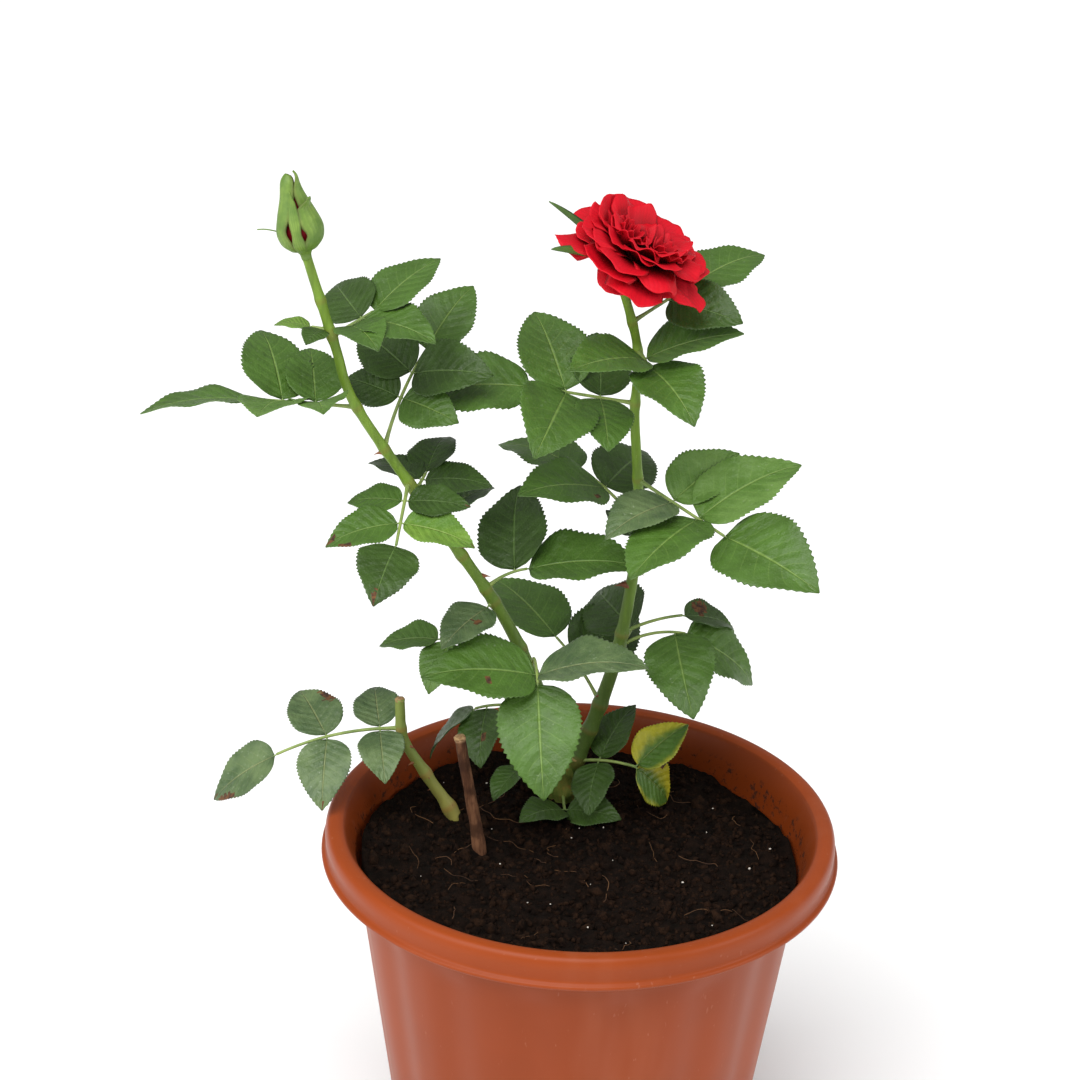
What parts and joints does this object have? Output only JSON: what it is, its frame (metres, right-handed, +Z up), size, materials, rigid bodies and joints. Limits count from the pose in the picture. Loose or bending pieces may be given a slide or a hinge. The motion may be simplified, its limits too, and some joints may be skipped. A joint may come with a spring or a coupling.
{
  "type": "potted rose bush",
  "caption": "Small leafy rose bush with one open bloom and one bud, two cut stubs, standing in a round fluted plastic pot of compost.",
  "frame": {"origin": "centre of the pot's flat underside", "axes": "+Z up along the pot's axis; the plant is seen from -Y, with the bud's cane leaning to -X"},
  "size_m": [0.3186, 0.24, 0.5095],
  "materials": {
    "pot_plastic": "satin moulded plastic",
    "compost": "moist and crumbly",
    "green_cane": "smooth waxy bark",
    "old_wood": "rough dry bark",
    "leaves": "satin",
    "petals": "velvety",
    "bud_green": "satin"
  },
  "bodies": {
    "root": {"pot": "pot_plastic", "compost": "compost", "graft_union": "old_wood", "right_cane": "green_cane", "left_cane": "green_cane", "green_stub": "green_cane", "brown_stub": "old_wood", "bloom": "petals", "bud": "bud_green", "leaf_left_top": "leaves", "leaf_left_young": "leaves", "leaf_left_arm": "leaves", "leaf_left_tall": "leaves", "leaf_left_back": "leaves", "leaf_left_front": "leaves", "leaf_left_burnt": "leaves", "leaf_middle_long": "leaves", "leaf_left_low": "leaves", "leaf_left_strip": "leaves", "leaf_left_hanging": "leaves", "leaf_left_foot": "leaves", "leaf_front_broad": "leaves", "leaf_right_top": "leaves", "leaf_right_behind": "leaves", "leaf_right_arm": "leaves", "leaf_right_large": "leaves", "leaf_right_back": "leaves", "leaf_right_small": "leaves", "leaf_right_low": "leaves", "leaf_right_low_back": "leaves", "leaf_middle_low": "leaves", "leaf_middle_back": "leaves", "leaf_stub": "leaves", "leaf_foot_yellowing": "leaves", "leaf_sucker": "leaves"}
  },
  "joints": []
}
